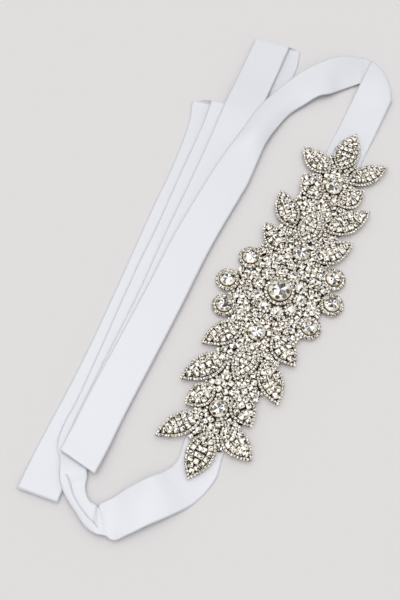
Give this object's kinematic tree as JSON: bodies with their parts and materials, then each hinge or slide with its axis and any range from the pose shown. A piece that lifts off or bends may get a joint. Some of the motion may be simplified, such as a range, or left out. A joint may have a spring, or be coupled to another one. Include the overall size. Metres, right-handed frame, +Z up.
{
  "type": "bridal sash",
  "caption": "Narrow satin ribbon sash with a long rhinestone leaf applique, laid flat with its ties folded beside it.",
  "frame": {"origin": "on the table under the middle of the applique, on the underside of the ribbon", "axes": "+Y along the applique towards the end that the folded corner leaves from, +Z up, +X to the right of the applique seen from above"},
  "size_m": [0.1592, 0.3873, 0.0124],
  "materials": {
    "ribbon": "white satin ribbon with a soft sheen and woven selvedges",
    "backing": "white felt backing, matt",
    "setting": "silver plated stone cups and cup chain over a felt leaf",
    "crystal": "clear cut rhinestone with a foiled back"
  },
  "bodies": {
    "root": {"applique_backing": "backing", "cluster_first_north": "setting", "cluster_first_north_stone": "crystal", "cluster_first_south": "setting", "cluster_first_south_stone": "crystal", "cluster_second_north": "setting", "cluster_second_north_stone": "crystal", "cluster_second_south": "setting", "cluster_second_south_stone": "crystal", "cluster_third_north": "setting", "cluster_third_north_stone": "crystal", "cluster_third_south": "setting", "cluster_third_south_stone": "crystal", "leaf_end_left_north": "setting", "leaf_end_left_south": "setting", "leaf_end_north": "setting", "leaf_end_right_north": "setting", "leaf_end_right_south": "setting", "leaf_end_south": "setting", "leaf_fourth_left_north": "setting", "leaf_fourth_left_south": "setting", "leaf_fourth_right_north": "setting", "leaf_fourth_right_south": "setting", "leaf_second_left_north": "setting", "leaf_second_left_south": "setting", "leaf_second_right_north": "setting", "leaf_second_right_south": "setting", "leaf_spine_north": "setting", "leaf_spine_south": "setting", "leaf_third_left_north": "setting", "leaf_third_left_south": "setting", "leaf_third_right_north": "setting", "leaf_third_right_south": "setting", "ribbon_carrier": "ribbon", "rosette": "setting", "rosette_stone": "crystal", "stone_inner_north": "crystal", "stone_inner_south": "crystal", "stone_outer_north": "crystal", "stone_outer_south": "crystal", "tie_a_back": "ribbon", "tie_a_front": "ribbon", "tie_a_return": "ribbon", "tie_a_rise": "ribbon", "tie_a_turn": "ribbon", "tie_b_rise": "ribbon", "tie_b_sweep": "ribbon", "tie_b_tail": "ribbon", "tie_b_twist": "ribbon"}
  },
  "joints": []
}
